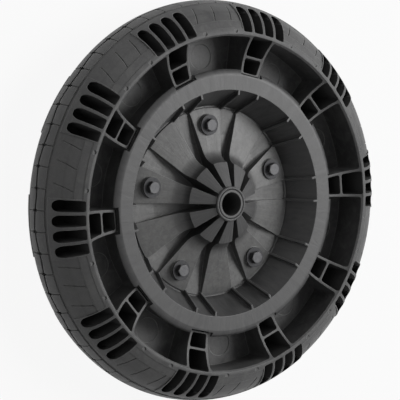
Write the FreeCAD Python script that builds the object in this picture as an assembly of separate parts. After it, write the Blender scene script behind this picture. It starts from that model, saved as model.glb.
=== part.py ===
import FreeCAD, Part
import math
import os

# A wheelbarrow wheel that can't go flat: a soft moulded tyre whose load is carried by
# open cells, on a black plastic rim of two moulded halves, bolted face to face over the
# tyre's inner hoop, with a plain bush for the axle.
# The wheel's axis is Z and its mid-plane is z = 0. The front side is +Z. The first spoke
# of the tyre points along +Y, and angles count clockwise as seen from the front.
# Lengths are in millimetres and angles in degrees.

V = FreeCAD.Vector
AXIS = V(0, 0, 1)
CENTRE = V(0, 0, 0)

# Whole wheel
SPOKES = 10
BOLTS = 5
TYRE_OD = 355.0
TYRE_WIDTH = 76.0
HUB_LENGTH = 75.0
BORE = 20.2

# Tyre section
TREAD_ROUND = 2.0           # how much the section's radius exceeds half the width
BEAD_WIDTH = 2.7            # flat ring on the bead
BEAD_EDGE = 0.8
BEAD_WALL = 3.4             # from the bead's outer edge in to the open pockets
WEB_THICKNESS = 10.0        # web in the mid-plane that closes every cell
HOOP_WALL = 10.1
HOOP_WIDTH = 54.6
HOOP_INSET = 4.1            # from the rim's flange edge in to the hoop

# Spokes: two thin walls and a cross wall, wider at the bead than at the hoop
SPOKE_SPAN = 29.8           # from the rim's flange edge out to the bead
SPOKE_HALF_HOOP = 9.4
SPOKE_HALF_BEAD = 12.9
SPOKE_WALL = 2.1
CROSS_WALL = 1.9
CROSS_WALL_RISE = 16.1      # from the hoop out to the cross wall
CELL_INNER_WALL = 2.2       # from the hoop out to the inner cell
CELL_OUTER_WALL = 2.4       # from the bead's outer edge in to the outer cell
CELL_CORNER = 2.0
POCKET_CORNER = 2.5
END_GAP = 1.1               # gap between a spoke's end and the foot of its notch in the rim
END_GAP_DEPTH = 6.0

# Mould marks: a round one in every pocket's floor and two on the bead beside every panel
FLOOR_MARK_D = 22.0
FLOOR_MARK_RISE = 14.6      # from the hoop out to its centre
BEAD_MARK_D = 3.6
BEAD_MARK_MARGIN = 1.0      # from the bead's outer edge out to its centre
BEAD_MARK_ANGLE = 6.2
MARK_DEPTH = 0.5

# Slots in the sidewall, a group of four at the head of every spoke
SLOTS = 4
SLOT_PITCH = 4.45
SLOT_ANGLE = 3.5
SLOT_INNER_MARGIN = 0.8     # from the bead's outer edge out to the slots
SLOT_OUTER_MARGIN = 4.7     # from the slots out to the tread
SLOT_INNER_CORNER = 1.6
SLOT_OUTER_CORNER = 4.2

# Shallow panels between the slot groups, which run out into a ring round the tread band
PANEL_ANGLE = 18.4
PANEL_MARGIN = 3.4          # from the bead's outer edge out to the panels
PANEL_STEP_MARGIN = 10.0    # from the bead's outer edge out to their step
PANEL_DEPTH = 0.9
PANEL_STEP = 0.5
PAD_OUTER_Z = 14.5
BAND_HALF = 11.8            # half width of the tread band
# Three slanting grooves in every panel: angle at the inner and at the outer end
SLANTS = ((-7.2, -4.7), (-0.5, 1.8), (5.6, 7.3))
SLANT_PLAY = 0.6            # from the step out to the grooves
SLANT_MARGIN = 4.6          # from the grooves out to the tread
SLANT_WIDTH = 0.8
SLANT_DEPTH = 0.6

# Tread, built as a ring of its own outside the slots: a zigzag groove round the crown, slits across the band and a notch where they meet
TREAD_BASE = 4.3            # depth of that ring below the crown
WAVES = 20
ZIGZAG_SWING = 1.7
GROOVE_WIDTH = 2.2
GROOVE_DEPTH = 2.6
SLITS = 60
SLIT_WIDTH = 0.8
SLIT_DEPTH = 1.3
SLIT_OVERRUN = 0.4          # how far the slits run past the band
SLIT_START = -1.0
TREAD_NOTCH_WIDTH = 2.3
TREAD_NOTCH_LENGTH = 6.4

# Rim half
RIM_GAP = 0.3               # play between the rim and the tyre's hoop
RIM_WALL = 3.2
FLANGE_THICKNESS = 4.0
FLANGE_EDGE = 0.8           # straight edge left below the flange's bevel
FLANGE_BEVEL = 5.5
FLANGE_FACE = 12.5          # width of the flat face
NOTCH_DEPTH = 4.2
NOTCH_HALF = 11.6
DISH_RUN = 14.9             # from the face's inner edge in to the foot of the dish wall
DISH_FOOT_Z = 5.0

# Web of the rim half: wide sectors rise to the hub, narrow ones stay low
GUTTER = 1.6                # between the web's edge and the foot of the dish wall
WEB_EDGE_Z = 6.5
KNEE_Z = 13.0
BOSS_R = 15.3
BOSS_RISE = 2.5             # upright part of the boss above the ramp
BOSS_CHAMFER = 0.8
RAMP_FALL = 10.5            # from the boss to the crease
GROOVE_HALF_ANGLE = 6.2
GROOVE_RIM_Z = 4.5
GROOVE_HUB_Z = 9.0
# The washers' pads take their own width of the web, and the rest of it is shared out from the boss
CREASE_SHARE = 0.4216
KNEE_SHARE = 0.6456
PAD_SHARE = 0.89
GROOVE_MID_SHARE = 0.66     # of the whole web

# Fins on the dish wall, one at each edge of every narrow sector
FIN_THICKNESS = 1.9
FIN_HEIGHT = 4.0

# Bolts, washers and nuts
THREAD_D = 6.0
BOLT_HOLE_PLAY = 0.3
BOLT_LENGTH = 35.0
HEX_ACROSS = 10.0
HEAD_HEIGHT = 4.0
NUT_HEIGHT = 5.0
WASHER_OD = 18.0
WASHER_HOLE = 6.4
WASHER_THICKNESS = 1.6
PAD_MARGIN = 0.3

# Axle bush
BUSH_OD = 25.4
BUSH_PLAY = 0.1
BUSH_CHAMFER = 0.5

# Derived sizes, from the tread in to the hub
pitch = 360.0 / SPOKES
tyre_r = TYRE_OD / 2
tyre_half = TYRE_WIDTH / 2
above = tyre_half + 5
round_r = tyre_half + TREAD_ROUND      # radius of the round cross-section from bead to bead
arc_r = tyre_r - round_r
tread_base_r = tyre_r - TREAD_BASE
bead_outer_r = arc_r + math.sqrt(round_r ** 2 - tyre_half ** 2)
bead_inner_r = bead_outer_r - BEAD_WIDTH
pocket_r = bead_outer_r - BEAD_WALL
flange_r = bead_inner_r - SPOKE_SPAN
hoop_outer_r = flange_r - HOOP_INSET
hoop_inner_r = hoop_outer_r - HOOP_WALL
hoop_half = HOOP_WIDTH / 2
web_half = WEB_THICKNESS / 2
cell_inner_r = hoop_outer_r + CELL_INNER_WALL
cell_outer_r = bead_outer_r - CELL_OUTER_WALL
cross_wall_r = hoop_outer_r + CROSS_WALL_RISE
slot_inner_r = bead_outer_r + SLOT_INNER_MARGIN
slot_outer_r = tyre_r - SLOT_OUTER_MARGIN
panel_inner_r = bead_outer_r + PANEL_MARGIN
panel_step_r = bead_outer_r + PANEL_STEP_MARGIN
slant_inner_r = panel_step_r + SLANT_PLAY
slant_outer_r = tyre_r - SLANT_MARGIN
floor_mark_r = hoop_outer_r + FLOOR_MARK_RISE
bead_mark_r = bead_outer_r + BEAD_MARK_MARGIN
barrel_r = hoop_inner_r - RIM_GAP
flange_under_z = hoop_half + RIM_GAP
flange_face_z = flange_under_z + FLANGE_THICKNESS
face_outer_r = flange_r - FLANGE_BEVEL
face_inner_r = face_outer_r - FLANGE_FACE
notch_r = flange_r - NOTCH_DEPTH
dish_foot_r = face_inner_r - DISH_RUN
web_r = dish_foot_r - GUTTER
hub_half = HUB_LENGTH / 2
boss_foot_z = hub_half - BOSS_RISE
crease_z = boss_foot_z - RAMP_FALL
bush_hole_r = BUSH_OD / 2 + BUSH_PLAY
pad_r = WASHER_OD / 2 + PAD_MARGIN
free_web = web_r - BOSS_R - 2 * pad_r
crease_r = BOSS_R + CREASE_SHARE * free_web
knee_r = BOSS_R + KNEE_SHARE * free_web
groove_mid_r = BOSS_R + GROOVE_MID_SHARE * (web_r - BOSS_R)
bolt_circle_r = BOSS_R + PAD_SHARE * free_web + pad_r
bolt_angle = pitch / 2
web_slope = (KNEE_Z - WEB_EDGE_Z) / (web_r - knee_r)
pad_z = WEB_EDGE_Z + web_slope * (web_r - bolt_circle_r + pad_r)


def at(r, z):
    """Point of a radial section."""
    return V(r, 0, z)


def line(a, b):
    return Part.makeLine(a, b)


def arc(a, mid, b):
    return Part.Arc(a, mid, b).toShape()


def closed(edges):
    return Part.Face(Part.Wire(edges))


def polygon(points):
    return Part.Face(Part.makePolygon(points + points[:1]))


def turned(face, angle=360.0):
    """Solid of revolution about the wheel's axis, centred on +X where it isn't a full turn."""
    solid = face.revolve(CENTRE, AXIS, angle)
    if angle < 360.0:
        solid.rotate(CENTRE, AXIS, -angle / 2)
    return solid


def clockwise(shape, angle):
    """Copy of a shape drawn along +X, put at an angle clockwise from +Y."""
    copy = shape.copy()
    copy.rotate(CENTRE, AXIS, 90.0 - angle)
    return copy


def ring(shape, start=0.0, count=SPOKES):
    return [clockwise(shape, start + i * 360.0 / count) for i in range(count)]


def mirrored(shape):
    return shape.mirror(CENTRE, AXIS)


def both_sides(shapes):
    return shapes + [mirrored(s) for s in shapes]


def upright(points, z0, z1, corners=()):
    """Prism over a plan outline, with its upright edges rounded: corners holds (point index, radius)."""
    solid = polygon([V(x, y, z0) for x, y in points]).extrude(V(0, 0, z1 - z0))
    for index, radius in corners:
        x, y = points[index]
        found = [e for e in solid.Edges if is_upright_at(e, x, y)]
        solid = solid.makeFillet(radius, found)
    return solid


def is_upright_at(edge, x, y):
    a, b = edge.Vertexes[0].Point, edge.Vertexes[-1].Point
    return abs(a.z - b.z) > 1 and math.hypot(a.x - x, a.y - y) < 1e-3 and math.hypot(b.x - x, b.y - y) < 1e-3


def spoke_half(r, wall=0.0):
    """Half width of a spoke at a radius, less its wall."""
    share = (r - hoop_outer_r) / (bead_inner_r - hoop_outer_r)
    return SPOKE_HALF_HOOP + share * (SPOKE_HALF_BEAD - SPOKE_HALF_HOOP) - wall


def tangent_arc(a, b):
    """Arc that leaves point a along the radius and ends at b, as its three points."""
    dr, dz = b.x - a.x, b.z - a.z
    radius = (dr * dr + dz * dz) / (2 * dz)
    half = math.asin(dr / radius) / 2
    mid = at(a.x + radius * math.sin(half), a.z + radius * (1 - math.cos(half)))
    return a, mid, b


# Tyre

def side_blank():
    """One side of the tyre below its tread: hoop, spoke edges that sweep up to the bead, and shoulder."""
    start = at(flange_r, hoop_half)
    bead_in = at(bead_inner_r, tyre_half - BEAD_EDGE)
    sweep = tangent_arc(start, bead_in)
    bead_top = at(bead_inner_r + BEAD_EDGE, tyre_half)
    bead_out = at(bead_outer_r, tyre_half)
    base = at(tread_base_r, crown_z(tread_base_r))
    edges = [
        line(at(hoop_inner_r, 0), at(hoop_inner_r, hoop_half)),
        line(at(hoop_inner_r, hoop_half), start),
        arc(*sweep),
        line(bead_in, bead_top),
        line(bead_top, bead_out),
        arc(bead_out, crown_point((tyre_half + base.z) / 2), base),
        line(base, at(tread_base_r, 0)),
        line(at(tread_base_r, 0), at(hoop_inner_r, 0)),
    ]
    return turned(closed(edges))


def tread_blank():
    """Crown of the round section, from shoulder to shoulder."""
    z = crown_z(tread_base_r)
    return turned(closed([arc(at(tread_base_r, z), at(tyre_r, 0), at(tread_base_r, -z)),
                          line(at(tread_base_r, -z), at(tread_base_r, z))]))


def crown_point(z, depth=0.0):
    """Point of the tread's round section at a height, or that far below its surface."""
    angle = math.asin(z / round_r)
    return at(arc_r + (round_r - depth) * math.cos(angle), (round_r - depth) * math.sin(angle))


def open_pocket():
    """Large cell between two spokes."""
    def corner(r, side):
        half = spoke_half(r)
        a = math.radians(pitch / 2) - math.asin(half / r)
        return r * math.cos(a), side * r * math.sin(a)

    inner = [corner(hoop_outer_r, -1), (hoop_outer_r, 0), corner(hoop_outer_r, 1)]
    outer = [corner(pocket_r, 1), (pocket_r, 0), corner(pocket_r, -1)]
    i0, i1, i2 = [V(x, y, web_half) for x, y in inner]
    o0, o1, o2 = [V(x, y, web_half) for x, y in outer]
    outline = [arc(i0, i1, i2), line(i2, o0), arc(o0, o1, o2), line(o2, i0)]
    solid = closed(outline).extrude(V(0, 0, above - web_half))
    for p in (i0, i2, o0, o2):
        solid = solid.makeFillet(POCKET_CORNER, [e for e in solid.Edges if is_upright_at(e, p.x, p.y)])
    return solid


def spoke_cell(r0, r1):
    """One of the two deep cells inside a spoke."""
    w0, w1 = spoke_half(r0, SPOKE_WALL), spoke_half(r1, SPOKE_WALL)
    points = [(r0, -w0), (r1, -w1), (r1, w1), (r0, w0)]
    return upright(points, web_half, above, [(i, CELL_CORNER) for i in range(4)])


def slot():
    """Sidewall slot with radial sides, square at the bead and round at the tread."""
    a = math.radians(SLOT_ANGLE / 2)
    points = [(r * math.cos(a), s * r * math.sin(a)) for r, s in
              ((slot_inner_r, -1), (slot_outer_r, -1), (slot_outer_r, 1), (slot_inner_r, 1))]
    radii = [(0, SLOT_INNER_CORNER), (1, SLOT_OUTER_CORNER), (2, SLOT_OUTER_CORNER), (3, SLOT_INNER_CORNER)]
    return upright(points, web_half, above, radii)


def skin(z_in, z_out, depth):
    """Section of the skin between two heights: from just outside the round surface down to a depth."""
    z_mid = (z_in + z_out) / 2
    top = [crown_point(z_in, -1), crown_point(z_mid, -1), crown_point(z_out, -1)]
    low = [crown_point(z_out, depth), crown_point(z_mid, depth), crown_point(z_in, depth)]
    return closed([arc(*top), line(top[2], low[0]), arc(*low), line(low[2], top[0])])


def crown_z(r):
    """Height of the round surface at a radius."""
    return math.sqrt(round_r ** 2 - (r - arc_r) ** 2)


def panel():
    """Shallow recess in the sidewall, deeper beyond its step."""
    inner = turned(skin(crown_z(panel_inner_r), crown_z(panel_step_r), PANEL_DEPTH - PANEL_STEP), PANEL_ANGLE)
    return inner.fuse(turned(skin(crown_z(panel_step_r), BAND_HALF, PANEL_DEPTH), PANEL_ANGLE))


def slants():
    """Slanting grooves in the floor of one panel."""
    depth = PANEL_DEPTH + SLANT_DEPTH
    layer = turned(skin(crown_z(slant_inner_r), crown_z(slant_outer_r), depth), PANEL_ANGLE)
    strips = []
    for a0, a1 in SLANTS:
        inner, outer = plan(slant_inner_r - 1, a0), plan(slant_outer_r + 1, a1)
        along = outer - inner
        across = V(-along.y, along.x, 0) * (SLANT_WIDTH / 2 / along.Length)
        points = [inner - across, outer - across, outer + across, inner + across]
        strips.append(upright([(p.x, p.y) for p in points], 0, above).common(layer))
    return strips


def plan(r, angle):
    """Point at a radius and at an angle clockwise from +X."""
    return V(r * math.cos(math.radians(angle)), -r * math.sin(math.radians(angle)), 0)


def slit():
    """Narrow cut across the tread band."""
    z = BAND_HALF + SLIT_OVERRUN
    edges = [arc(crown_point(z, -1), crown_point(0, -1), crown_point(-z, -1)),
             line(crown_point(-z, -1), crown_point(-z, SLIT_DEPTH)),
             arc(crown_point(-z, SLIT_DEPTH), crown_point(0, SLIT_DEPTH), crown_point(z, SLIT_DEPTH)),
             line(crown_point(z, SLIT_DEPTH), crown_point(z, -1))]
    plate = closed(edges).extrude(V(0, SLIT_WIDTH, 0))
    plate.translate(V(0, -SLIT_WIDTH / 2, 0))
    return plate


def tread_notches():
    """Short deep notches, one where each slit meets the zigzag groove."""
    block = Part.makeBox(GROOVE_DEPTH + 1, TREAD_NOTCH_WIDTH, TREAD_NOTCH_LENGTH,
                         V(tyre_r - GROOVE_DEPTH, -TREAD_NOTCH_WIDTH / 2, -TREAD_NOTCH_LENGTH / 2))
    found = []
    for i in range(SLITS):
        angle = SLIT_START + i * 360.0 / SLITS
        notch_i = clockwise(block, angle)
        notch_i.translate(V(0, 0, zigzag_z(angle)))
        found.append(notch_i)
    return found


def zigzag_z(angle):
    """Height of the zigzag groove's middle at an angle: low at every spoke and every panel's middle."""
    wave = 360.0 / WAVES
    share = abs((angle / wave + 0.5) % 1.0 - 0.5) * 2
    return ZIGZAG_SWING * (2 * share - 1)


def zigzag_groove():
    """Groove round the crown that swings to both sides, as a chain of straight cutters."""
    floor_r = tyre_r - GROOVE_DEPTH
    step = math.radians(180.0 / WAVES)
    corners = []
    for i in range(2 * WAVES):
        side = ZIGZAG_SWING if i % 2 else -ZIGZAG_SWING
        corners.append((i * step, side))
    links = []
    for i, (a0, z0) in enumerate(corners):
        a1, z1 = a0 + step, -z0
        links.append(groove_link(a0, z0, a1, z1, floor_r))
    return links


def groove_link(a0, z0, a1, z1, floor_r):
    half = GROOVE_WIDTH / 2
    out_r = tyre_r + 1
    rows = []
    for a, z in ((a0, z0), (a1, z1)):
        c, s = math.cos(a), math.sin(a)
        rows.append([V(r * c, r * s, z + d) for r, d in
                     ((floor_r, -half), (floor_r, half), (out_r, half), (out_r, -half))])
    wires = [Part.makePolygon(row + row[:1]) for row in rows]
    return Part.makeLoft(wires, True, True)


def mould_marks():
    """Shallow round recesses: one in a pocket's floor, two on the bead beside it."""
    floor = Part.makeCylinder(FLOOR_MARK_D / 2, 2 * MARK_DEPTH, at(floor_mark_r, web_half - MARK_DEPTH))
    bead = Part.makeCylinder(BEAD_MARK_D / 2, 2, at(bead_mark_r, crown_z(bead_mark_r) - MARK_DEPTH))
    found = [floor]
    for side in (-1, 1):
        mark = bead.copy()
        mark.rotate(CENTRE, AXIS, side * BEAD_MARK_ANGLE)
        found.append(mark)
    return found


def tyre_side():
    """Front side of the tyre up to the tread, with everything that is cut into it."""
    end_gap = Part.makeBox(END_GAP, 2 * SPOKE_HALF_HOOP, above, V(notch_r, -SPOKE_HALF_HOOP, hoop_half - END_GAP_DEPTH))
    body = side_blank().cut(ring(panel(), pitch / 2))
    body = body.cut(ring(open_pocket(), pitch / 2))
    cells = ring(spoke_cell(cell_inner_r, cross_wall_r - CROSS_WALL / 2))
    cells += ring(spoke_cell(cross_wall_r + CROSS_WALL / 2, cell_outer_r))
    body = body.cut(cells + ring(end_gap))
    one_slot = slot()
    for i in range(SLOTS):
        body = body.cut(ring(one_slot, (i - (SLOTS - 1) / 2) * SLOT_PITCH))
    for shape in slants() + mould_marks():
        body = body.cut(ring(shape, pitch / 2))
    return body


def tread():
    """Crown with its shoulder recesses, zigzag groove, slits and notches."""
    body = tread_blank().cut(both_sides(ring(panel(), pitch / 2) + [turned(skin(PAD_OUTER_Z, BAND_HALF, PANEL_DEPTH))]))
    body = body.cut(ring(slit(), SLIT_START, SLITS))
    body = body.cut(zigzag_groove())
    return body.cut(tread_notches())


def make_tyre():
    side = tyre_side()
    return side.fuse([mirrored(side), tread()]).removeSplitter()


# Rim

def web_top():
    """Upper outline of a wide sector, from the boss out to the web's edge, as edges."""
    boss, crease = at(BOSS_R, boss_foot_z), at(crease_r, crease_z)
    knee, edge = at(knee_r, KNEE_Z), at(web_r, WEB_EDGE_Z)
    return [line(boss, crease), arc(crease, knee_mid(0.0), knee), line(knee, edge)]


def knee_circle():
    """Centre and radius of the hollow curve that runs on from the web and climbs to the crease."""
    slope = math.atan(web_slope)
    dr, dz = knee_r - crease_r, crease_z - KNEE_Z
    turn = math.atan2(dz, dr) - slope
    radius = math.hypot(dr, dz) / (2 * math.sin(turn))
    return knee_r + radius * math.sin(slope), KNEE_Z + radius * math.cos(slope), radius


def knee_mid(wall):
    """Middle of the hollow curve, or of the same curve a wall's thickness below."""
    r, z, radius = knee_circle()
    a0 = math.atan2(crease_z - z, crease_r - r) % (2 * math.pi)
    a1 = math.atan2(KNEE_Z - z, knee_r - r) % (2 * math.pi)
    mid = (a0 + a1) / 2
    return at(r + (radius + wall) * math.cos(mid), z + (radius + wall) * math.sin(mid))


def rim_section():
    face_in, face_out = at(face_inner_r, flange_face_z), at(face_outer_r, flange_face_z)
    lip = at(flange_r, flange_under_z + FLANGE_EDGE)
    bulge = at((face_outer_r + 2 * flange_r) / 3, flange_face_z - (flange_face_z - lip.z) * 0.42)
    edge = at(web_r, WEB_EDGE_Z)
    gutter = [at(web_r + 0.2, DISH_FOOT_Z), at(dish_foot_r, DISH_FOOT_Z)]
    hub = [at(bush_hole_r, 0), at(bush_hole_r, hub_half - BOSS_CHAMFER),
           at(bush_hole_r + BOSS_CHAMFER, hub_half), at(BOSS_R - BOSS_CHAMFER, hub_half),
           at(BOSS_R, hub_half - BOSS_CHAMFER), at(BOSS_R, boss_foot_z)]
    seat = [at(flange_r, flange_under_z), at(barrel_r, flange_under_z), at(barrel_r, 0), hub[0]]
    edges = chain(hub) + web_top() + chain([edge] + gutter + [face_in, face_out])
    edges += [arc(face_out, bulge, lip)] + chain([lip] + seat)
    return closed(edges)


def chain(points):
    return [line(a, b) for a, b in zip(points, points[1:])]


def narrow_sector():
    """Material taken off above the low floor of one narrow sector."""
    inner, outer = BOSS_R, web_r
    points = [at(inner, GROOVE_HUB_Z), at(groove_mid_r, GROOVE_RIM_Z), at(outer, GROOVE_RIM_Z),
              at(outer, above), at(inner, above)]
    return turned(polygon(points), 2 * GROOVE_HALF_ANGLE)


def under_web():
    """Section of the hollow below a wide sector, a wall's thickness inside its top."""
    r, z, radius = knee_circle()
    reach = radius + RIM_WALL
    slope = math.atan(web_slope)
    low = at(r - reach * math.sin(slope), z - reach * math.cos(slope))
    facet = math.atan2(boss_foot_z - crease_z, crease_r - BOSS_R)
    drop = RIM_WALL / math.cos(facet)
    top = at(BOSS_R + RIM_WALL, boss_foot_z - RIM_WALL * math.tan(facet) - drop)
    turn_r, turn_z = meet(top, facet, r, z, reach)
    a0 = math.atan2(turn_z - z, turn_r - r) % (2 * math.pi)
    a1 = math.atan2(low.z - z, low.x - r) % (2 * math.pi)
    mid = at(r + reach * math.cos((a0 + a1) / 2), z + reach * math.sin((a0 + a1) / 2))
    turn = at(turn_r, turn_z)
    end_r = web_r - RIM_WALL
    end = at(end_r, low.z - (end_r - low.x) * web_slope)
    edges = [line(top, turn), arc(turn, mid, low), line(low, end)]
    edges += chain([end, at(end_r, 0), at(top.x, 0), top])
    return closed(edges)


def meet(start, fall, r, z, radius):
    """Where a line that falls outward from start first meets a circle."""
    dr, dz = math.cos(fall), -math.sin(fall)
    fr, fz = start.x - r, start.z - z
    b = fr * dr + fz * dz
    c = fr * fr + fz * fz - radius * radius
    t = -b - math.sqrt(b * b - c)
    if t < 0:
        t = -b + math.sqrt(b * b - c)
    return start.x + t * dr, start.z + t * dz


def sector_hollow(with_bolt):
    """Hollow below one wide sector, clear of the walls beside it and of its bolt column."""
    spread = math.radians(pitch / 2 - GROOVE_HALF_ANGLE)
    apex = RIM_WALL / math.sin(spread)
    reach = web_r * 1.2
    side = (reach - apex) * math.tan(spread)
    wedge = upright([(apex, 0), (reach, -side), (reach, side)], -1, above)
    hollow = turned(under_web()).common(wedge)
    if with_bolt:
        column = Part.makeCylinder(THREAD_D / 2 + BOLT_HOLE_PLAY + RIM_WALL, above, at(bolt_circle_r, 0))
        hollow = hollow.cut(column)
    return hollow


def barrel_hollow():
    """V-shaped hollow between the dish wall and the barrel that the tyre sits on."""
    rise, run = flange_face_z - DISH_FOOT_Z, face_inner_r - dish_foot_r
    length = math.hypot(rise, run)
    r0 = dish_foot_r + RIM_WALL * rise / length
    z0 = DISH_FOOT_Z - RIM_WALL * run / length
    r1 = barrel_r - RIM_WALL
    z1 = z0 + (r1 - r0) * rise / run
    return turned(polygon([at(r0, 0), at(r0, z0), at(r1, z1), at(r1, 0)]))


def fin():
    """Upright rib on the dish wall; its crest runs level with the wall, from the web to the flange face."""
    slant = (face_inner_r - dish_foot_r) / (flange_face_z - DISH_FOOT_Z)
    foot_z = GROOVE_RIM_Z - 1
    foot_r = dish_foot_r - (DISH_FOOT_Z - foot_z) * slant
    root = RIM_WALL / 2
    points = [at(foot_r - FIN_HEIGHT, foot_z), at(face_inner_r - FIN_HEIGHT, flange_face_z),
              at(face_inner_r + root, flange_face_z), at(foot_r + root, foot_z)]
    plate = polygon(points).extrude(V(0, FIN_THICKNESS, 0))
    plate.translate(V(0, -FIN_THICKNESS / 2, 0))
    return plate


def notch():
    """Cut in the flange's edge that clears the end of a spoke."""
    points = [(notch_r, -NOTCH_HALF), (flange_r + 5, -NOTCH_HALF), (flange_r + 5, NOTCH_HALF), (notch_r, NOTCH_HALF)]
    return upright(points, hoop_half - 1, above)


def make_rim_half():
    """Front half of the rim, with its mating face in the mid-plane."""
    body = turned(rim_section())
    body = body.cut(ring(narrow_sector()))
    pads = ring(Part.makeCylinder(pad_r, pad_z - WEB_EDGE_Z, at(bolt_circle_r, WEB_EDGE_Z)), bolt_angle, BOLTS)
    fins = ring(fin(), GROOVE_HALF_ANGLE) + ring(fin(), -GROOVE_HALF_ANGLE)
    body = body.fuse(pads + fins)
    holes = ring(Part.makeCylinder(THREAD_D / 2 + BOLT_HOLE_PLAY, above, at(bolt_circle_r, -1)), bolt_angle, BOLTS)
    hollows = ring(sector_hollow(True), bolt_angle, BOLTS)
    hollows += ring(sector_hollow(False), bolt_angle + pitch, BOLTS)
    return body.cut(holes + hollows + ring(notch()) + [barrel_hollow()])


# Fasteners and bush, drawn on the +X side at the bolt circle

def hexagon(height):
    """Hexagon with its upper corners turned off, standing on z = 0."""
    corner_r = HEX_ACROSS / math.sqrt(3)
    points = [(corner_r * math.cos(math.radians(60 * i)), corner_r * math.sin(math.radians(60 * i)))
              for i in range(6)]
    block = upright(points, 0, height)
    flat_r = HEX_ACROSS * 0.475
    fall = (corner_r - flat_r) * math.tan(math.radians(30))
    cap = turned(polygon([at(0, 0), at(corner_r, 0), at(corner_r, height - fall), at(flat_r, height), at(0, height)]))
    return block.common(cap)


def make_bolt():
    tip = THREAD_D * 0.12
    half = THREAD_D / 2
    shank = turned(polygon([at(0, 0.5), at(half, 0.5), at(half, tip - BOLT_LENGTH),
                            at(half - tip, -BOLT_LENGTH), at(0, -BOLT_LENGTH)]))
    bolt = hexagon(HEAD_HEIGHT).fuse(shank).removeSplitter()
    bolt.translate(at(bolt_circle_r, pad_z + WASHER_THICKNESS))
    return bolt


def make_washer():
    washer = Part.makeCylinder(WASHER_OD / 2, WASHER_THICKNESS)
    washer = washer.cut(Part.makeCylinder(WASHER_HOLE / 2, WASHER_THICKNESS))
    washer.translate(at(bolt_circle_r, pad_z))
    return washer


def make_nut():
    hole = Part.makeCylinder(THREAD_D / 2 + 0.02, NUT_HEIGHT)
    nut = mirrored(hexagon(NUT_HEIGHT).cut(hole))
    nut.translate(at(bolt_circle_r, -pad_z - WASHER_THICKNESS))
    return nut


def make_bush():
    outer, inner = BUSH_OD / 2, BORE / 2
    end = hub_half - BUSH_CHAMFER
    points = [at(inner, -hub_half), at(outer - BUSH_CHAMFER, -hub_half), at(outer, -end),
              at(outer, end), at(outer - BUSH_CHAMFER, hub_half), at(inner, hub_half)]
    return turned(polygon(points))


def save(name, shape):
    solids = shape.Solids
    if len(solids) != 1:
        raise ValueError("%s has %d solids" % (name, len(solids)))
    solids[0].exportStep("parts/%s.step" % name)


os.makedirs("parts", exist_ok=True)
save("tyre", make_tyre())
rim_front = make_rim_half()
save("rim_front", rim_front)
save("rim_rear", mirrored(rim_front))
save("axle_bush", make_bush())
for number in range(1, BOLTS + 1):
    angle = bolt_angle + (number - 1) * 360.0 / BOLTS
    save("bolt_%d" % number, clockwise(make_bolt(), angle))
    save("washer_front_%d" % number, clockwise(make_washer(), angle))
    save("washer_rear_%d" % number, mirrored(clockwise(make_washer(), angle)))
    save("nut_%d" % number, clockwise(make_nut(), angle))
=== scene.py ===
"""Solid tyre wheel for a barrow: materials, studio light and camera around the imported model."""
import math

import bpy
from mathutils import Matrix, Vector


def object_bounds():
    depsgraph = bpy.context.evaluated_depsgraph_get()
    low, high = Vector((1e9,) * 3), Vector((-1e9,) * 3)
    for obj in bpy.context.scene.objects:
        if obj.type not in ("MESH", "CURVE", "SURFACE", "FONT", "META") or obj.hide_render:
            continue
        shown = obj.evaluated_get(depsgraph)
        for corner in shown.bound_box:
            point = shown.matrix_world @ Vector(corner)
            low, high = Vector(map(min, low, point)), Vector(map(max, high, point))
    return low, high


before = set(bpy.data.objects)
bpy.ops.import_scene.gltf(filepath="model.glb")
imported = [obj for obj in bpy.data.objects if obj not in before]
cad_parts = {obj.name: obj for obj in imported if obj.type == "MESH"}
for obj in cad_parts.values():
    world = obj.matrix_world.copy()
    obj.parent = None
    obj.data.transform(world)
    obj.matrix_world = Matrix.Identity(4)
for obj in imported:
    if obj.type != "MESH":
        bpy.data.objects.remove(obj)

cad_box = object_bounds()

MM = 0.001

# The camera stands at EYE, and AIM is the middle of its picture, in metres.
EYE = Vector((-1.0366, 0.6337, 1.6798))
AIM = Vector((-0.0255, 0.0156, 0.0316))
ROLL = math.radians(-19.13)

# Its focal length and its sensor's width in millimetres, and how far it sees in metres.
LENS = 210.7
SENSOR = 36
FARTHEST = 50

# Floor, in metres: how long its sides are, and how far it lies below the wheel.
FLOOR_SIZE = 6.0
FLOOR_GAP = 0.0001

# The share of the floor that is plain white to the eye. The rest is lit paper.
FLOOR_WHITE = 0.92

# How bright the world is where it lights a dull surface, and where it is seen or mirrored.
WORLD_LIGHT = 0.03
WORLD_SEEN = 1.0

# How far the lamps stand from the middle of the wheel, in metres.
LAMP_DISTANCE = 2.2

# How many bolts and spokes the wheel has, and the angle of one spoke round the axle.
BOLTS = 5
SPOKES = 10
FIRST_SPOKE = math.pi / 2

# How soft the moulded and turned edges are, in metres.
TYRE_EDGE = 0.9 * MM
RIM_EDGE = 0.8 * MM
METAL_EDGE = 0.3 * MM
EDGE_SAMPLES = 6

# Painted shade in the tyre's pockets and slots. Each pair says where it starts and where it is full: the
# cosine of ten times the angle from a spoke, three distances from the axle, the distance from the
# mid-plane, and how far a face looks along the axle.
BESIDE_SPOKE = (0.69, 0.74)
PAST_HOOP = (104 * MM, 106 * MM)
PAST_BEAD = (148 * MM, 149 * MM)
BELOW_TREAD = (168 * MM, 167 * MM)
DEEP_DOWN = (27 * MM, 21 * MM)
UPRIGHT = (0.6, 0.3)

# Painted light on the rim's web and painted shade in the bush's bore, as distances from the axle in pairs of
# the same kind.
INSIDE_DISH = (86 * MM, 76 * MM)
OFF_RAMP = (36 * MM, 50 * MM)
IN_BORE = (10.6 * MM, 10.2 * MM)

# Flow streaks of the rim, in millimetres: how wide one is at STREAK_RADIUS from the axle, how
# long it is outwards, and how long it is along the axle.
STREAK_RADIUS = 72
STREAK_WIDTH = 5
STREAK_OUT = 28.4
STREAK_UP = 20.8


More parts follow.
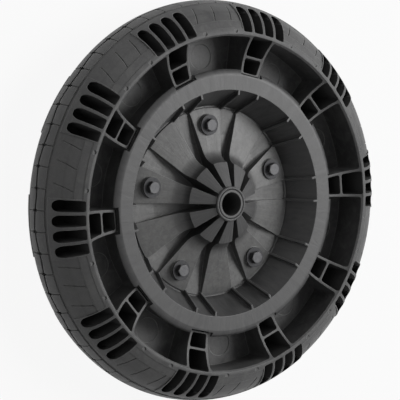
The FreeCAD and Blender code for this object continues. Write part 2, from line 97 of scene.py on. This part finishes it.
def linear(colour):
    """A colour written as an sRGB hex value, turned to the linear values that the shaders take."""
    parts = [int(colour[k:k + 2], 16) / 255 for k in (1, 3, 5)]
    return [p / 12.92 if p <= 0.04045 else ((p + 0.055) / 1.055) ** 2.4 for p in parts] + [1.0]


def per_mm(size):
    """The texture scale at which one feature is size millimetres across."""
    return 1 / (size * MM)


def add(tree, kind, inputs, **settings):
    """Adds one node. Each input is a plain value or another node's output."""
    node = tree.nodes.new(kind)
    for name, value in settings.items():
        setattr(node, name, value)
    for name, value in inputs.items():
        if isinstance(value, bpy.types.NodeSocket):
            tree.links.new(value, node.inputs[name])
        else:
            node.inputs[name].default_value = value
    return node


def empty_material(name):
    """A material with no nodes, and its node tree."""
    material = bpy.data.materials.new(name)
    material.use_nodes = True
    material.node_tree.nodes.clear()
    return material, material.node_tree


def object_place(tree):
    """The place in the object's own frame, in metres."""
    return add(tree, "ShaderNodeTexCoord", {}).outputs["Object"]


def wheel_axes(tree, place):
    """The height of a place over the wheel's mid-plane and its distance from the axle."""
    parts = add(tree, "ShaderNodeSeparateXYZ", {"Vector": place}).outputs
    flat = add(tree, "ShaderNodeCombineXYZ", {"X": parts["X"], "Y": parts["Y"], "Z": 0.0}).outputs[0]
    radius = add(tree, "ShaderNodeVectorMath", {0: flat}, operation="LENGTH").outputs["Value"]
    return parts["Z"], radius


def turn(tree, place):
    """The angle of a place round the axle, in radians."""
    parts = add(tree, "ShaderNodeSeparateXYZ", {"Vector": place}).outputs
    return add(tree, "ShaderNodeMath", {0: parts["Y"], 1: parts["X"]}, operation="ARCTAN2").outputs[0]


def edge_wear_and_highlight(tree, normal, contrast):
    """How far a rounded edge's normal leans from the flat one: nought on faces, one on corners."""
    flat = add(tree, "ShaderNodeNewGeometry", {}).outputs["True Normal"]
    same = add(tree, "ShaderNodeVectorMath", {0: normal, 1: flat}, operation="DOT_PRODUCT").outputs["Value"]
    lean = add(tree, "ShaderNodeMath", {0: 1.0, 1: same}, operation="SUBTRACT", use_clamp=True).outputs[0]
    wear_and_highlight = add(tree, "ShaderNodeMath", {0: lean, 1: contrast}, operation="MULTIPLY", use_clamp=True)
    return wear_and_highlight.outputs[0]


def painted_recess_shade(tree, height, radius, angle):
    """Where shade is painted: one inside the spokes' two-cell pockets and the sidewall's slots, nought
    elsewhere.
    """
    turned = add(tree, "ShaderNodeMath", {0: angle, 1: FIRST_SPOKE}, operation="SUBTRACT").outputs[0]
    tenfold = add(tree, "ShaderNodeMath", {0: turned, 1: SPOKES}, operation="MULTIPLY").outputs[0]
    near = add(tree, "ShaderNodeMath", {0: tenfold}, operation="COSINE").outputs[0]
    depth = add(tree, "ShaderNodeMath", {0: height}, operation="ABSOLUTE").outputs[0]
    facing = add(tree, "ShaderNodeNewGeometry", {}).outputs["True Normal"]
    rise = add(tree, "ShaderNodeSeparateXYZ", {"Vector": facing}).outputs["Z"]
    level = add(tree, "ShaderNodeMath", {0: rise}, operation="ABSOLUTE").outputs[0]
    on_spoke, past_hoop, past_bead, below_tread, deep, upright = [
        add(tree, "ShaderNodeMapRange", {
            "Value": value, "From Min": start, "From Max": full}).outputs["Result"]
        for value, (start, full) in (
            (near, BESIDE_SPOKE), (radius, PAST_HOOP), (radius, PAST_BEAD),
            (radius, BELOW_TREAD), (depth, DEEP_DOWN), (level, UPRIGHT))]
    inside = add(tree, "ShaderNodeMath", {0: deep, 1: upright}, operation="MAXIMUM").outputs[0]
    before_bead = add(tree, "ShaderNodeMath", {0: past_hoop, 1: past_bead}, operation="SUBTRACT").outputs[0]
    cell = add(tree, "ShaderNodeMath", {0: on_spoke, 1: before_bead}, operation="MULTIPLY").outputs[0]
    slot = add(tree, "ShaderNodeMath", {0: past_bead, 1: below_tread}, operation="MULTIPLY").outputs[0]
    either = add(tree, "ShaderNodeMath", {0: cell, 1: slot}, operation="MAXIMUM").outputs[0]
    return add(tree, "ShaderNodeMath", {0: either, 1: inside}, operation="MULTIPLY").outputs[0]


def moulded_elastomer():
    """Thermoplastic elastomer, injection moulded: matt, with fine grain, soft mottling, a bloom, painted
    shade in its pockets and slots, and pale edges that are partly wear and partly painted highlight.
    """
    material, tree = empty_material("moulded_elastomer")
    place = object_place(tree)
    height, radius = wheel_axes(tree, place)
    soft = add(tree, "ShaderNodeBevel", {"Radius": TYRE_EDGE}, samples=EDGE_SAMPLES).outputs["Normal"]
    mottle = add(tree, "ShaderNodeTexNoise", {
        "Vector": place, "Scale": per_mm(28), "Detail": 5.0, "Roughness": 0.6}).outputs["Fac"]
    bloom = add(tree, "ShaderNodeTexNoise", {
        "Vector": place, "Scale": per_mm(9), "Detail": 6.0, "Roughness": 0.65,
        "Distortion": 0.6}).outputs["Fac"]
    # The real grain is too fine to show, so this one is coarser.
    grain = add(tree, "ShaderNodeTexNoise", {
        "Vector": place, "Scale": per_mm(0.9), "Detail": 3.0, "Roughness": 0.6}).outputs["Fac"]
    shade = add(tree, "ShaderNodeValToRGB", {"Fac": mottle})
    shade.color_ramp.elements[0].position = 0.3
    shade.color_ramp.elements[0].color = linear("#404041")
    shade.color_ramp.elements[1].position = 0.7
    shade.color_ramp.elements[1].color = linear("#5c5c5c")
    haze = add(tree, "ShaderNodeMapRange", {
        "Value": bloom, "From Min": 0.46, "From Max": 0.7, "To Min": 0.0, "To Max": 0.6}).outputs["Result"]
    bloom_and_painted_light = add(tree, "ShaderNodeMix", {
        "Factor": haze, 6: shade.outputs["Color"], 7: linear("#737372")}, data_type="RGBA").outputs[2]
    # Pale edges: partly wear and partly painted highlight, where the rounded edges catch the light.
    edges = edge_wear_and_highlight(tree, soft, contrast=5.5)
    wear_and_highlight = add(tree, "ShaderNodeMix", {
        "Factor": edges, 6: bloom_and_painted_light, 7: linear("#8a8a89")}, data_type="RGBA").outputs[2]
    # Painted shade: the pockets and slots turn near black inside, and dull.
    recess_shade = painted_recess_shade(tree, height, radius, turn(tree, place))
    recess_shaded = add(tree, "ShaderNodeMix", {
        "Factor": recess_shade, 6: wear_and_highlight, 7: linear("#0a0a0a")}, data_type="RGBA").outputs[2]
    gloss = add(tree, "ShaderNodeMapRange", {
        "Value": bloom, "From Min": 0.3, "From Max": 0.7, "To Min": 0.46, "To Max": 0.6}).outputs["Result"]
    dull = add(tree, "ShaderNodeMath", {0: gloss, 1: recess_shade}, operation="MAXIMUM").outputs[0]
    sink = add(tree, "ShaderNodeBump", {
        "Height": bloom, "Strength": 0.5, "Distance": 0.8 * MM, "Normal": soft}).outputs["Normal"]
    skin = add(tree, "ShaderNodeBump", {
        "Height": grain, "Strength": 0.3, "Distance": 0.05 * MM, "Normal": sink}).outputs["Normal"]
    shader = add(tree, "ShaderNodeBsdfPrincipled", {
        "Base Color": recess_shaded, "Roughness": dull, "IOR": 1.5, "Normal": skin})
    add(tree, "ShaderNodeOutputMaterial", {"Surface": shader.outputs["BSDF"]})
    return material


def moulded_polypropylene():
    """Black polypropylene, injection moulded: satin, with streaks from the hub that are partly flow marks
    and partly painted sheen, scuffs, painted light on the web, and pale edges that are partly wear and
    partly painted highlight.
    """
    material, tree = empty_material("moulded_polypropylene")
    place = object_place(tree)
    height, radius = wheel_axes(tree, place)
    soft = add(tree, "ShaderNodeBevel", {"Radius": RIM_EDGE}, samples=EDGE_SAMPLES).outputs["Normal"]
    round_axle = add(tree, "ShaderNodeCombineXYZ", {
        "X": turn(tree, place), "Y": radius, "Z": height}).outputs[0]
    scales = (STREAK_RADIUS / STREAK_WIDTH, per_mm(STREAK_OUT), per_mm(STREAK_UP))
    flow = add(tree, "ShaderNodeVectorMath", {0: round_axle, 1: scales}, operation="MULTIPLY").outputs[0]
    streak = add(tree, "ShaderNodeTexNoise", {
        "Vector": flow, "Scale": 1.0, "Detail": 6.0, "Roughness": 0.6,
        "Distortion": 0.8}).outputs["Fac"]
    scuff = add(tree, "ShaderNodeTexNoise", {
        "Vector": place, "Scale": per_mm(6), "Detail": 7.0, "Roughness": 0.7,
        "Distortion": 1.2}).outputs["Fac"]
    # The real grain is too fine to show, so this one is coarser.
    grain = add(tree, "ShaderNodeTexNoise", {
        "Vector": place, "Scale": per_mm(0.7), "Detail": 2.0, "Roughness": 0.5}).outputs["Fac"]
    # The streaks are partly flow marks and partly painted sheen, in the paler grey of this ramp.
    shade = add(tree, "ShaderNodeValToRGB", {"Fac": streak})
    shade.color_ramp.elements[0].position = 0.3
    shade.color_ramp.elements[0].color = linear("#3f3f40")
    shade.color_ramp.elements[1].position = 0.72
    shade.color_ramp.elements[1].color = linear("#585858")
    rubbed = add(tree, "ShaderNodeMapRange", {
        "Value": scuff, "From Min": 0.56, "From Max": 0.78, "To Min": 0.0, "To Max": 0.3}).outputs["Result"]
    scuffed = add(tree, "ShaderNodeMix", {
        "Factor": rubbed, 6: shade.outputs["Color"], 7: linear("#737373")}, data_type="RGBA").outputs[2]
    # Painted light: the web between the dish wall and the ramp is made paler, in patches.
    in_dish = add(tree, "ShaderNodeMapRange", {
        "Value": radius, "From Min": INSIDE_DISH[0], "From Max": INSIDE_DISH[1]}).outputs["Result"]
    off_ramp = add(tree, "ShaderNodeMapRange", {
        "Value": radius, "From Min": OFF_RAMP[0], "From Max": OFF_RAMP[1]}).outputs["Result"]
    on_web = add(tree, "ShaderNodeMath", {0: in_dish, 1: off_ramp}, operation="MULTIPLY").outputs[0]
    patchiness = add(tree, "ShaderNodeMapRange", {
        "Value": scuff, "From Min": 0.38, "From Max": 0.62, "To Min": 0.3}).outputs["Result"]
    painted_web_light = add(tree, "ShaderNodeMath", {0: on_web, 1: patchiness}, operation="MULTIPLY").outputs[0]
    bloom_and_painted_light = add(tree, "ShaderNodeMix", {
        "Factor": painted_web_light, 6: scuffed, 7: linear("#6c6c6b")}, data_type="RGBA").outputs[2]
    # Pale edges: partly wear and partly painted highlight, where the rounded edges catch the light.
    edges = edge_wear_and_highlight(tree, soft, contrast=3.0)
    wear_and_highlight = add(tree, "ShaderNodeMix", {
        "Factor": edges, 6: bloom_and_painted_light, 7: linear("#969696")}, data_type="RGBA").outputs[2]
    gloss = add(tree, "ShaderNodeMapRange", {
        "Value": streak, "From Min": 0.3, "From Max": 0.7, "To Min": 0.36, "To Max": 0.48}).outputs["Result"]
    ripple = add(tree, "ShaderNodeBump", {
        "Height": streak, "Strength": 0.4, "Distance": 0.6 * MM, "Normal": soft}).outputs["Normal"]
    skin = add(tree, "ShaderNodeBump", {
        "Height": grain, "Strength": 0.25, "Distance": 0.04 * MM, "Normal": ripple}).outputs["Normal"]
    shader = add(tree, "ShaderNodeBsdfPrincipled", {
        "Base Color": wear_and_highlight, "Roughness": gloss, "IOR": 1.49, "Normal": skin})
    add(tree, "ShaderNodeOutputMaterial", {"Surface": shader.outputs["BSDF"]})
    return material


def turned_nylon():
    """Polyamide bush, turned: dark grey, with fine tool rings round the axle and painted shade in its bore.
    """
    material, tree = empty_material("turned_nylon")
    place = object_place(tree)
    height, radius = wheel_axes(tree, place)
    soft = add(tree, "ShaderNodeBevel", {"Radius": METAL_EDGE}, samples=EDGE_SAMPLES).outputs["Normal"]
    rings = add(tree, "ShaderNodeCombineXYZ", {"X": radius, "Y": height, "Z": 0.0}).outputs[0]
    # Real tool marks are too fine to show, so these are coarser.
    tool = add(tree, "ShaderNodeTexNoise", {
        "Vector": rings, "Scale": per_mm(0.8), "Detail": 2.0, "Roughness": 0.5}).outputs["Fac"]
    patch = add(tree, "ShaderNodeTexNoise", {
        "Vector": place, "Scale": per_mm(7), "Detail": 4.0, "Roughness": 0.6}).outputs["Fac"]
    shade = add(tree, "ShaderNodeValToRGB", {"Fac": patch})
    shade.color_ramp.elements[0].color = linear("#353535")
    shade.color_ramp.elements[1].color = linear("#464646")
    # Painted shade: the bore turns near black.
    bore_shade = add(tree, "ShaderNodeMapRange", {
        "Value": radius, "From Min": IN_BORE[0], "From Max": IN_BORE[1]}).outputs["Result"]
    bore_shaded = add(tree, "ShaderNodeMix", {
        "Factor": bore_shade, 6: shade.outputs["Color"], 7: linear("#020202")}, data_type="RGBA").outputs[2]
    dull = add(tree, "ShaderNodeMapRange", {
        "Value": bore_shade, "To Min": 0.42, "To Max": 1.0}).outputs["Result"]
    cut = add(tree, "ShaderNodeBump", {
        "Height": tool, "Strength": 0.5, "Distance": 0.08 * MM, "Normal": soft}).outputs["Normal"]
    shader = add(tree, "ShaderNodeBsdfPrincipled", {
        "Base Color": bore_shaded, "Roughness": dull, "IOR": 1.53, "Normal": cut})
    add(tree, "ShaderNodeOutputMaterial", {"Surface": shader.outputs["BSDF"]})
    return material


def black_steel(name, dark, pale):
    """Steel with a black oxide finish: dull metal from a dark to a pale grey, with rubbed corners."""
    material, tree = empty_material(name)
    place = object_place(tree)
    soft = add(tree, "ShaderNodeBevel", {"Radius": METAL_EDGE}, samples=EDGE_SAMPLES).outputs["Normal"]
    patch = add(tree, "ShaderNodeTexNoise", {
        "Vector": place, "Scale": per_mm(3), "Detail": 5.0, "Roughness": 0.65}).outputs["Fac"]
    # The oxide's real grit is too fine to show, so this one is coarser.
    grit = add(tree, "ShaderNodeTexNoise", {
        "Vector": place, "Scale": per_mm(0.5), "Detail": 2.0, "Roughness": 0.6}).outputs["Fac"]
    shade = add(tree, "ShaderNodeValToRGB", {"Fac": patch})
    shade.color_ramp.elements[0].position = 0.3
    shade.color_ramp.elements[0].color = linear(dark)
    shade.color_ramp.elements[1].position = 0.75
    shade.color_ramp.elements[1].color = linear(pale)
    edges = edge_wear_and_highlight(tree, soft, contrast=1.6)
    wear_and_highlight = add(tree, "ShaderNodeMix", {
        "Factor": edges, 6: shade.outputs["Color"], 7: linear("#8a8a88")}, data_type="RGBA").outputs[2]
    gloss = add(tree, "ShaderNodeMapRange", {
        "Value": patch, "From Min": 0.3, "From Max": 0.7, "To Min": 0.4, "To Max": 0.55}).outputs["Result"]
    skin = add(tree, "ShaderNodeBump", {
        "Height": grit, "Strength": 0.3, "Distance": 0.03 * MM, "Normal": soft}).outputs["Normal"]
    shader = add(tree, "ShaderNodeBsdfPrincipled", {
        "Base Color": wear_and_highlight, "Metallic": 0.85, "Roughness": gloss, "Normal": skin})
    add(tree, "ShaderNodeOutputMaterial", {"Surface": shader.outputs["BSDF"]})
    return material


def seen_ray(tree):
    """One for a ray that looks at the background straight, in a reflection or through glass."""
    path = add(tree, "ShaderNodeLightPath", {}).outputs
    either = add(tree, "ShaderNodeMath", {
        0: path["Is Camera Ray"], 1: path["Is Glossy Ray"]}, operation="MAXIMUM").outputs[0]
    return add(tree, "ShaderNodeMath", {
        0: either, 1: path["Is Transmission Ray"]}, operation="MAXIMUM").outputs[0]


def studio_paper():
    """White seamless paper: it looks white, and still takes the wheel's soft shadow."""
    material, tree = empty_material("studio_paper")
    # Real fibres are too fine to show, so these are coarser.
    fibre = add(tree, "ShaderNodeTexNoise", {
        "Vector": object_place(tree), "Scale": per_mm(2), "Detail": 3.0}).outputs["Fac"]
    tone = add(tree, "ShaderNodeValToRGB", {"Fac": fibre})
    tone.color_ramp.elements[0].color = linear("#ececec")
    tone.color_ramp.elements[1].color = linear("#f4f4f4")
    matt = add(tree, "ShaderNodeBsdfDiffuse", {"Color": tone.outputs["Color"]}).outputs[0]
    white = add(tree, "ShaderNodeEmission", {"Color": linear("#ffffff"), "Strength": 1.0}).outputs[0]
    share = add(tree, "ShaderNodeMath", {0: seen_ray(tree), 1: FLOOR_WHITE}, operation="MULTIPLY").outputs[0]
    both = add(tree, "ShaderNodeMixShader", {0: share, 1: matt, 2: white}).outputs[0]
    add(tree, "ShaderNodeOutputMaterial", {"Surface": both})
    return material


def each_bolt(*kinds):
    """The names of the pieces that come once for each bolt."""
    return [f"{kind}_{k}" for kind in kinds for k in range(1, BOLTS + 1)]


def dress(material, names):
    """Gives CAD nodes their finish."""
    for name in names:
        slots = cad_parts[name].data.materials
        if not slots:
            slots.append(material)
        for k in range(len(slots)):
            slots[k] = material


def make_floor(lowest):
    """A flat square just below the wheel."""
    mesh = bpy.data.meshes.new("floor")
    half = FLOOR_SIZE / 2
    corners = [(-half, -half), (half, -half), (half, half), (-half, half)]
    mesh.from_pydata([(x, y, lowest - FLOOR_GAP) for x, y in corners], [], [(0, 1, 2, 3)])
    mesh.materials.append(studio_paper())
    floor = bpy.data.objects.new("floor", mesh)
    bpy.context.scene.collection.objects.link(floor)


def make_world():
    """A white background that lights dull surfaces only faintly."""
    world = bpy.data.worlds.new("studio")
    world.use_nodes = True
    tree = world.node_tree
    tree.nodes.clear()
    strength = add(tree, "ShaderNodeMapRange", {
        "Value": seen_ray(tree), "To Min": WORLD_LIGHT, "To Max": WORLD_SEEN}).outputs["Result"]
    sky = add(tree, "ShaderNodeBackground", {"Color": linear("#ffffff"), "Strength": strength}).outputs[0]
    add(tree, "ShaderNodeOutputWorld", {"Surface": sky})
    bpy.context.scene.world = world


def make_lamp(name, towards, size, radiance):
    """A square soft box, seen from the wheel's middle in the direction towards, that shines at it.

    Radiance is how bright its face is.
    """
    lamp = bpy.data.lights.new(name, "AREA")
    lamp.size = size
    lamp.energy = radiance * math.pi * size ** 2
    holder = bpy.data.objects.new(name, lamp)
    way = Vector(towards).normalized()
    holder.location = way * LAMP_DISTANCE
    holder.rotation_euler = way.to_track_quat("Z", "Y").to_euler()
    bpy.context.scene.collection.objects.link(holder)


def make_camera():
    """The camera at EYE, turned to AIM and then rolled."""
    camera = bpy.data.cameras.new("camera")
    camera.lens = LENS
    camera.sensor_width = SENSOR
    camera.clip_end = FARTHEST
    ahead = (AIM - EYE).normalized()
    level = ahead.cross(Vector((0, 1, 0))).normalized()
    steep = level.cross(ahead)
    right = math.cos(ROLL) * level + math.sin(ROLL) * steep
    up = right.cross(ahead)
    holder = bpy.data.objects.new("camera", camera)
    holder.matrix_world = Matrix.Translation(EYE) @ Matrix((right, up, -ahead)).transposed().to_4x4()
    bpy.context.scene.collection.objects.link(holder)
    bpy.context.scene.camera = holder


dress(moulded_elastomer(), ["tyre"])
dress(moulded_polypropylene(), ["rim_front", "rim_rear"])
dress(turned_nylon(), ["axle_bush"])
dress(black_steel("headed_black_steel", "#3f3f41", "#5e5e5f"), each_bolt("bolt", "nut"))
# The washers take darker greys than the bolts and nuts: painted shade from the bolt heads.
dress(black_steel("washer_steel_painted_shade", "#272729", "#414142"), each_bolt("washer_front", "washer_rear"))

make_floor(cad_box[0][2])
make_world()
make_lamp("key", towards=(0.70, -0.06, 0.71), size=1.3, radiance=6.2)
make_lamp("edge", towards=(0.0, 0.97, 0.26), size=1.2, radiance=0.7)
make_lamp("fill", towards=(-0.62, 0.30, 0.62), size=1.2, radiance=0.12)
make_camera()

bpy.context.scene.view_settings.view_transform = "Standard"
